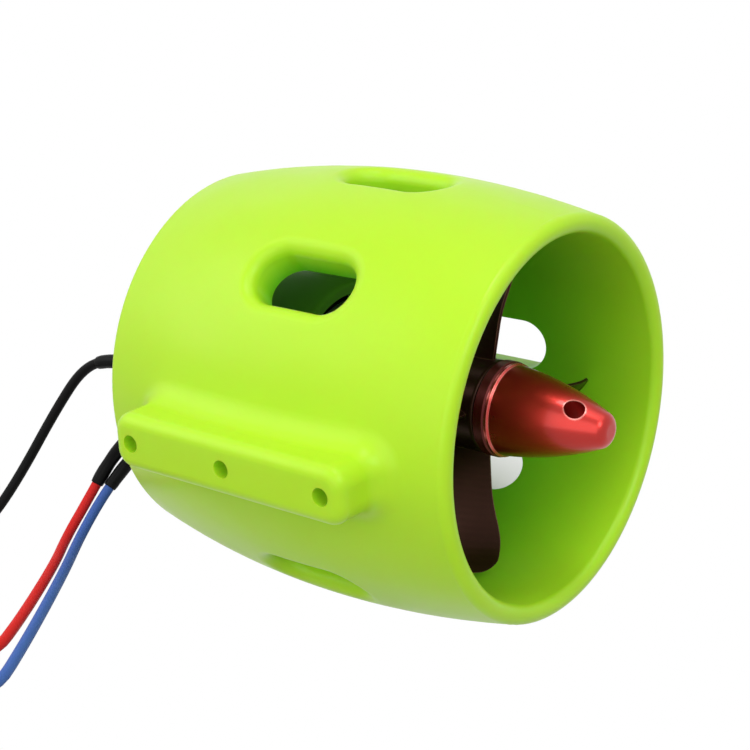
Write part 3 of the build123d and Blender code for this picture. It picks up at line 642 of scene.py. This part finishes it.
# The propeller is milled from aluminium and anodised a dark red-brown. The cutter leaves fine
# curved steps across the blades, and the edges shine through where weed and sand rub them.
blade_brown = (0.020, 0.007, 0.004, 1)
blade_brown_light = (0.036, 0.013, 0.007, 1)
blade_edge_rubbed = (0.40, 0.20, 0.13, 1)
prop_finish, prop_tree, prop_shader = start_finish(
    "dark_anodised", Metallic=0.6, Specular_IOR_Level=0.15
)
prop_place = add_node(prop_tree, "ShaderNodeTexCoord")
cutter_steps = add_node(
    prop_tree,
    "ShaderNodeTexWave",
    {"Scale": 260.0, "Distortion": 1.2, "Detail": 1.0, "Detail Scale": 0.6},
    wave_type="RINGS",
    rings_direction="X",
)
prop_from_axis = add_node(
    prop_tree, "ShaderNodeVectorMath", {1: (0, -thrust_axis_y, 0)}, operation="ADD"
)
prop_clouds = add_node(
    prop_tree, "ShaderNodeTexNoise", {"Scale": 140.0, "Detail": 6.0, "Roughness": 0.6}
)
prop_colour = add_node(
    prop_tree, "ShaderNodeMix", {"A": blade_brown, "B": blade_brown_light}, data_type="RGBA"
)
prop_gloss = add_node(prop_tree, "ShaderNodeMapRange", {"To Min": 0.26, "To Max": 0.42})
prop_edges = add_node(
    prop_tree,
    "ShaderNodeGroup",
    {"Width": 0.3 * mm, "Face Agrees": 0.99, "Edge Agrees": 0.88, "Most": 0.7},
    node_tree=edge_wear_and_highlight,
)
prop_worn = add_node(prop_tree, "ShaderNodeMix", {"B": blade_edge_rubbed}, data_type="RGBA")
join(
    prop_tree,
    ((prop_place, "Object"), (prop_from_axis, 0)),
    ((prop_from_axis, "Vector"), (cutter_steps, "Vector")),
    ((prop_place, "Object"), (prop_clouds, "Vector")),
    ((prop_clouds, "Fac"), (prop_colour, "Factor")),
    ((prop_clouds, "Fac"), (prop_gloss, "Value")),
    ((prop_clouds, "Fac"), (prop_edges, "Wear And Highlight")),
    ((prop_edges, "Mask"), (prop_worn, "Factor")),
    ((prop_colour, "Result"), (prop_worn, "A")),
    ((prop_worn, "Result"), (prop_shader, "Base Color")),
    ((prop_gloss, "Result"), (prop_shader, "Roughness")),
)
raise_grain(prop_tree, prop_shader, cutter_steps, "Fac", strength=0.3, distance=0.03 * mm)
dress(prop_finish, "propeller")

# Washer and bullet nut are turned from aluminium bar and anodised red. The nut's pale pink edge
# tint, half a millimetre wide, is a painted highlight; its base chamfer and the rim of its cross hole
# are the brightest edges on it.
red_anodised = turned_finish(
    "red_anodised",
    (0.47, 0.024, 0.018, 1),
    (0.90, 0.34, 0.30, 1),
    (0.26, 0.36),
    strength=0.3,
    edge_width=0.5 * mm,
    Metallic=0.85,
    Coat_Weight=0.35,
    Coat_Roughness=0.13,
)
# The washer has the same red anodising, given as a much darker copy: painted shade for where it sits
# between the propeller and the nut.
washer_painted_shade_red = turned_finish(
    "washer_painted_shade_red",
    (0.09, 0.005, 0.004, 1),
    (0.18, 0.022, 0.018, 1),
    (0.38, 0.50),
    strength=0.3,
    Metallic=0.6,
)
dress(red_anodised, "bullet_nut")
dress(washer_painted_shade_red, "prop_washer")

# Three silicone leads leave the potting, each with a heat-shrink sleeve over the joint to the
# motor's own wire. They bend down, lie on the floor, and end in a neat coil with a bullet plug.
# Their routes and coils are in millimetres, and their whole lengths in metres.
floor_z = shroud_low.z
lead_radius = 1.0 * mm
on_floor = floor_z / mm + lead_radius / mm
lead_colours = {
    "black": ((0.003, 0.003, 0.003, 1), (0.005, 0.005, 0.005, 1)),
    "red": ((0.82, 0.030, 0.028, 1), (0.76, 0.026, 0.024, 1)),
    "blue": ((0.080, 0.165, 0.530, 1), (0.070, 0.150, 0.490, 1)),
}
routes = {
    "black": [
        (-35.2, 35.42, -5.8),
        (-44.4, 35.42, -5.8),
        (-53.8, 35.9, -4.0),
        (-62.4, 36.1, -3.4),
        (-69.7, 34.7, -5.8),
        (-74.3, 30.1, -14.7),
        (-78.4, 23.6, -26.2),
        (-81.3, 18.4, -33.6),
        (-82.3, 14.0, on_floor),
    ],
    "red": [
        (-35.2, 37.61, -7.99),
        (-44.4, 37.61, -7.99),
        (-54.3, 37.1, -13.6),
        (-61.0, 35.8, -20.2),
        (-64.5, 33.6, -25.3),
        (-65.6, 28.1, -31.8),
        (-64.9, 21.7, on_floor),
        (-57.2, 11.6, on_floor),
        (-45.0, -7.5, on_floor),
        (-39.2, -18.4, on_floor),
    ],
    "blue": [
        (-35.2, 39.8, -10.18),
        (-43.9, 39.8, -10.18),
        (-52.8, 38.7, -16.4),
        (-58.8, 36.7, -22.4),
        (-62.0, 34.3, -26.8),
        (-62.9, 29.4, -31.2),
        (-62.4, 22.8, on_floor),
        (-53.4, 10.7, on_floor),
        (-38.4, -11.4, on_floor),
        (-28.3, -27.7, on_floor),
    ],
}
run_to_coil = {"black": 5.0, "red": 10.0, "blue": 10.0}
sleeve_ends_after = {"black": 3, "red": 4, "blue": 4}
coil_turning = {"black": -1, "red": -1, "blue": 1}
way_to_coil = radians(230.2)
into_coil = Vector((cos(way_to_coil), sin(way_to_coil), 0))
coil_entry_length = 10.8
coil_radius = 11.0
wire_pitch = 2.0
points_a_turn = 24
turns_in_coil = 5.25
steps_inwards = (5 / 6, 11 / 6)
step_up = 16 / 6
steps_outwards = (21 / 6, 27 / 6)
step_span = 1 / 6
# The curve's turns are this much smaller than the circle that its points lie on.
curve_cuts_inside = 0.9915
coil_to_plug = ((13.0, 3.0, 2.0), (12.9, 6.0, 1.8), (12.2, 8.8, 1.1), (11.1, 11.0, 0.7), (11.0, 12.5, 0.7))


def eased(turn, start):
    """0 before start, 1 a step's span later, and a smooth rise between."""
    share = min(1, max(0, (turn - start) / step_span))
    return share * share * (3 - 2 * share)


def coil_points(last_floor_point, run, turning):
    """The coil: turns inwards on the floor, a step up, and turns outwards on top of them."""
    inwards = Matrix.Rotation(radians(90 * turning), 3, "Z") @ into_coil
    tangent_point = Vector(last_floor_point) + into_coil * (run + coil_entry_length)
    middle = tangent_point + inwards * coil_radius
    points = []
    for step in range(round(turns_in_coil * points_a_turn) + 1):
        turn = step / points_a_turn
        radius = coil_radius + wire_pitch
        radius -= wire_pitch * sum(eased(turn, start) for start in steps_inwards)
        radius += wire_pitch * sum(eased(turn, start) for start in steps_outwards)
        lift = wire_pitch * eased(turn, step_up)
        angle = 2 * pi * turn
        spoke = into_coil * sin(angle) - inwards * cos(angle)
        points.append(middle + spoke * (radius / curve_cuts_inside) + Vector((0, 0, lift)))
    # The end leaves the outer turn of the upper layer and comes down to the plug.
    for out, along, lift in coil_to_plug:
        points.append(middle + into_coil * out + inwards * along + Vector((0, 0, lift)))
    return points


def lay_lead(colour, points):
    """The lead as one NURBS curve through its whole route."""
    curve = bpy.data.curves.new(f"{colour}_wire", "CURVE")
    curve.dimensions = "3D"
    spline = curve.splines.new("NURBS")
    spline.points.add(len(points) - 1)
    for place, point in zip(spline.points, points):
        place.co = (*(Vector(point) * mm), 1)
    spline.order_u = 3
    spline.use_endpoint_u = True
    curve.resolution_u = 8
    curve.use_fill_caps = True
    lead = bpy.data.objects.new(f"{colour}_wire", curve)
    bpy.context.scene.collection.objects.link(lead)
    return lead


def line_of(lead):
    """The points along the middle of a lead, before it is given its thickness."""
    mesh = bpy.data.meshes.new_from_object(lead)
    points = [vertex.co.copy() for vertex in mesh.vertices]
    bpy.data.meshes.remove(mesh)
    return points


def skin_round(name, line, radii, sides=28):
    """A closed skin round a line of points, with its own radius at each and flat end caps."""
    rings = bmesh.new()
    side_way = Vector((0, 0, 1))
    last_ring = None
    for i, point in enumerate(line):
        ahead = line[min(i + 1, len(line) - 1)] - line[max(i - 1, 0)]
        ahead.normalize()
        side_way = (side_way - ahead * side_way.dot(ahead)).normalized()
        up_way = ahead.cross(side_way)
        ring = []
        for k in range(sides):
            angle = 2 * pi * k / sides
            out_way = side_way * cos(angle) + up_way * sin(angle)
            ring.append(rings.verts.new(point + out_way * radii[i]))
        if last_ring:
            for k in range(sides):
                rings.faces.new((last_ring[k], last_ring[k - 1], ring[k - 1], ring[k]))
        else:
            rings.faces.new(reversed(ring))
        last_ring = ring
    rings.faces.new(last_ring)
    bmesh.ops.recalc_face_normals(rings, faces=rings.faces)
    mesh = bpy.data.meshes.new(name)
    rings.to_mesh(mesh)
    rings.free()
    for face in mesh.polygons:
        face.use_smooth = len(face.vertices) == 4
    return mesh


# Heat-shrink: a tube shrunk on over the joint. It bulges over the solder, draws in at its end,
# and keeps small uneven ripples. The same tube covers each plug's solder cup.
shrink_tube = skin_finish(
    "shrink_tube",
    (0.004, 0.004, 0.004, 1),
    (0.007, 0.007, 0.007, 1),
    (0.30, 0.46),
    clouds_scale=420.0,
    grain_scale=3200.0,
    strength=0.35,
    distance=0.05 * mm,
    Specular_IOR_Level=0.07,
)
sleeve_radius = 1.35 * mm
sleeve_lip = 0.25 * mm
ripple_count = 5
ripple_rates = (500, 1500)
ripple_sizes = (0.008, 0.02)
bulge_size = 0.07
bulge_middle = 0.45
bulge_half = 0.25
drawn_in = 0.08
draws_in_over = 3 * sleeve_lip
lip_rings = (0.5, 0.8)
lip_narrowing = 0.95
lip_closing = 0.98


def shrink_sleeve(name, line, seed):
    """A shrunk tube along the line: a rounded end lip, a bulge over the joint, and ripples."""
    chance = Random(seed)
    waves = [
        (chance.uniform(*ripple_rates), chance.uniform(0, 2 * pi), chance.uniform(*ripple_sizes))
        for _ in range(ripple_count)
    ]
    lengths = [0.0]
    for before, after in zip(line, line[1:]):
        lengths.append(lengths[-1] + (after - before).length)
    whole = lengths[-1]
    radii = []
    for length in lengths:
        ripple = sum(size * sin(rate * length + phase) for rate, phase, size in waves)
        bulge = bulge_size * max(0, 1 - ((length / whole - bulge_middle) / bulge_half) ** 2)
        to_end = min(1, (whole - length) / draws_in_over)
        radii.append(sleeve_radius * (1 + ripple + bulge) * (1 - drawn_in + drawn_in * to_end))
    # The lip rounds off just past the end and closes on the lead.
    end_way = (line[-1] - line[-2]).normalized()
    lip = [line[-1] + end_way * sleeve_lip * share for share in lip_rings]
    radii += [radii[-1] * lip_narrowing, lead_radius * lip_closing]
    return skin_round(name, [*line, *lip], radii)


# The leads' skin is silicone: matte and soft, with a faint bloom and the fine marks of the die that
# it came through. Each is one piece from the potting to its plug.
for colour, route in routes.items():
    coil = coil_points(route[-1], run_to_coil[colour], coil_turning[colour])
    wire = lay_lead(colour, [*route, *coil])
    line = line_of(wire)
    wire.data.bevel_depth = lead_radius
    wire.data.bevel_resolution = 7
    silicone = skin_finish(
        f"{colour}_silicone",
        *lead_colours[colour],
        (0.42, 0.56),
        clouds_scale=300.0,
        grain_scale=4200.0,
        strength=0.3,
        distance=0.03 * mm,
        Specular_IOR_Level=0.08,
    )
    wire.data.materials.append(silicone)
    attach(wire, "housing")
    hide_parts(f"{colour}_lead", f"{colour}_lead_coil")

    # The sleeve follows the lead as far as the middle of the run in which it ends. The lead's first
    # third is searched, because the coil may lie nearer to that place.
    last_run = sleeve_ends_after[colour]
    sleeve_end = (Vector(route[last_run]) + Vector(route[last_run + 1])) * 0.5 * mm
    last = min(range(len(line) // 3), key=lambda i: (line[i] - sleeve_end).length)
    sleeve_mesh = shrink_sleeve(f"{colour}_shrink_sleeve", line[: last + 1], seed=last_run)
    sleeve_mesh.materials.append(shrink_tube)
    sleeve = add_piece(f"{colour}_shrink_sleeve", sleeve_mesh, "housing")
    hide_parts(f"{colour}_lead_sleeve")

# Each bullet plug is turned from brass and gilt, so that it doesn't corrode. The sleeve over its
# solder cup is the same heat-shrink.
gilt_brass = skin_finish(
    "gilt_brass",
    (0.80, 0.52, 0.16, 1),
    (0.72, 0.45, 0.13, 1),
    (0.16, 0.3),
    clouds_scale=500.0,
    grain_scale=5000.0,
    strength=0.2,
    distance=0.02 * mm,
    Metallic=1.0,
)
for colour in routes:
    dress(gilt_brass, f"{colour}_plug")
    dress(shrink_tube, f"{colour}_plug_sleeve")

# A plain white floor and background. To the camera and in reflections both are white, apart from
# the patch of floor behind the duct, where the floor is lit by the lamps and keeps a soft shadow.
floor_reach = 6.0
shadow_middle = (-22 * mm, 86 * mm)
shadow_whole = 12 * mm
shadow_gone = 42 * mm
tone_on_object = (0.43, 0.43, 0.43, 1)
tone_to_camera = (0.92, 0.92, 0.92, 1)
floor_corners = ((-1, -1), (1, -1), (1, 1), (-1, 1))
floor_mesh = bpy.data.meshes.new("floor")
floor_mesh.from_pydata(
    [(x * floor_reach, y * floor_reach, floor_z) for x, y in floor_corners], [], [(0, 1, 2, 3)]
)
floor = bpy.data.objects.new("floor", floor_mesh)
bpy.context.scene.collection.objects.link(floor)
floor_finish, floor_tree, floor_shader = start_finish(
    "floor_white", Roughness=0.9, Specular_IOR_Level=0.1
)
floor_light = add_node(floor_tree, "ShaderNodeEmission", {"Color": (1, 1, 1, 1), "Strength": 1.0})
floor_rays = add_node(floor_tree, "ShaderNodeLightPath")
seen_or_mirrored = add_node(floor_tree, "ShaderNodeMath", operation="MAXIMUM")
floor_tone = add_node(
    floor_tree, "ShaderNodeMix", {"A": tone_on_object, "B": tone_to_camera}, data_type="RGBA"
)
floor_place = add_node(floor_tree, "ShaderNodeTexCoord")
from_shadow = add_node(
    floor_tree, "ShaderNodeVectorMath", {1: (*shadow_middle, floor_z)}, operation="DISTANCE"
)
white_share = add_node(
    floor_tree, "ShaderNodeMapRange", {"From Min": shadow_whole, "From Max": shadow_gone}
)
floor_share = add_node(floor_tree, "ShaderNodeMath", operation="MULTIPLY")
floor_mix = add_node(floor_tree, "ShaderNodeMixShader")
floor_surface = find_node(floor_tree, "OUTPUT_MATERIAL")
join(
    floor_tree,
    ((floor_rays, "Is Camera Ray"), (seen_or_mirrored, 0)),
    ((floor_rays, "Is Glossy Ray"), (seen_or_mirrored, 1)),
    ((floor_place, "Object"), (from_shadow, 0)),
    ((from_shadow, "Value"), (white_share, "Value")),
    ((seen_or_mirrored, "Value"), (floor_share, 0)),
    ((white_share, "Result"), (floor_share, 1)),
    ((floor_share, "Value"), (floor_mix, "Fac")),
    ((floor_rays, "Is Camera Ray"), (floor_tone, "Factor")),
    ((floor_tone, "Result"), (floor_shader, "Base Color")),
    ((floor_shader, "BSDF"), (floor_mix, 1)),
    ((floor_light, "Emission"), (floor_mix, 2)),
    ((floor_mix, "Shader"), (floor_surface, "Surface")),
)
floor_mesh.materials.append(floor_finish)

# The room is white to the camera and in reflections, and lights the object more weakly than that.
world = bpy.data.worlds.new("studio")
bpy.context.scene.world = world
world.use_nodes = True
world_tree = world.node_tree
world_tree.nodes.clear()
room_light = add_node(
    world_tree, "ShaderNodeBackground", {"Color": (0.97, 0.99, 1.0, 1), "Strength": 0.28}
)
room_white = add_node(
    world_tree, "ShaderNodeBackground", {"Color": (1, 1, 1, 1), "Strength": 1.0}
)
room_rays = add_node(world_tree, "ShaderNodeLightPath")
camera_or_glossy = add_node(world_tree, "ShaderNodeMath", operation="MAXIMUM")
or_through_glass = add_node(world_tree, "ShaderNodeMath", operation="MAXIMUM")
room_mix = add_node(world_tree, "ShaderNodeMixShader")
room_out = add_node(world_tree, "ShaderNodeOutputWorld")
join(
    world_tree,
    ((room_rays, "Is Camera Ray"), (camera_or_glossy, 0)),
    ((room_rays, "Is Glossy Ray"), (camera_or_glossy, 1)),
    ((camera_or_glossy, "Value"), (or_through_glass, 0)),
    ((room_rays, "Is Transmission Ray"), (or_through_glass, 1)),
    ((or_through_glass, "Value"), (room_mix, "Fac")),
    ((room_light, "Background"), (room_mix, 1)),
    ((room_white, "Background"), (room_mix, 2)),
    ((room_mix, "Shader"), (room_out, "Surface")),
)

# Four soft boxes and a small lamp: two soft boxes on the camera's side, one high over the
# outlet, and one that looks into it. The small lamp is nearly straight above, where the highlights
# on the nut, the near slot and the rib come from. Places and widths are in metres.
lamp_target = Vector((0, thrust_axis_y, 0))
for name, place, width, power in (
    ("soft_box_camera", (0.20, -0.70, 0.26), 0.80, 2.05),
    ("soft_box_left", (-0.50, -0.40, 0.45), 0.70, 1.85),
    ("soft_box_above", (0.28, 0.10, 0.66), 0.60, 0.9),
    ("small_lamp_above", (0.06, -0.06, 0.64), 0.15, 0.65),
    ("soft_box_outlet", (0.50, -0.22, 0.42), 0.35, 1.2),
):
    lamp_data = bpy.data.lights.new(name, "AREA")
    lamp_data.shape = "DISK"
    lamp_data.size = width
    lamp_data.energy = power
    lamp = bpy.data.objects.new(name, lamp_data)
    lamp.location = lamp_target + Vector(place)
    lamp.rotation_mode = "QUATERNION"
    lamp.rotation_quaternion = (lamp_target - lamp.location).to_track_quat("-Z", "Y")
    bpy.context.scene.collection.objects.link(lamp)

# The camera stands where the photograph was taken from, a little rolled. The roll is in radians.
camera_place = Vector((164.10, -166.36, 95.51)) * mm
camera_aim = Vector((-3.59, 43.90, 1.72)) * mm
camera_roll = -0.042
forward = (camera_aim - camera_place).normalized()
level_right = forward.cross(Vector((0, 0, 1))).normalized()
level_up = level_right.cross(forward)
right = level_right * cos(camera_roll) + level_up * sin(camera_roll)
up = level_up * cos(camera_roll) - level_right * sin(camera_roll)
camera_data = bpy.data.cameras.new("photo_camera")
camera_data.sensor_width = 36.0
camera_data.lens = 77.62
camera_data.clip_start = 0.01
camera_data.clip_end = 50.0
camera = bpy.data.objects.new("photo_camera", camera_data)
camera_turn = Matrix((right, up, -forward)).transposed().to_4x4()
camera.matrix_world = Matrix.Translation(camera_place) @ camera_turn
bpy.context.scene.collection.objects.link(camera)
bpy.context.scene.camera = camera

bpy.context.scene.view_settings.view_transform = "Standard"
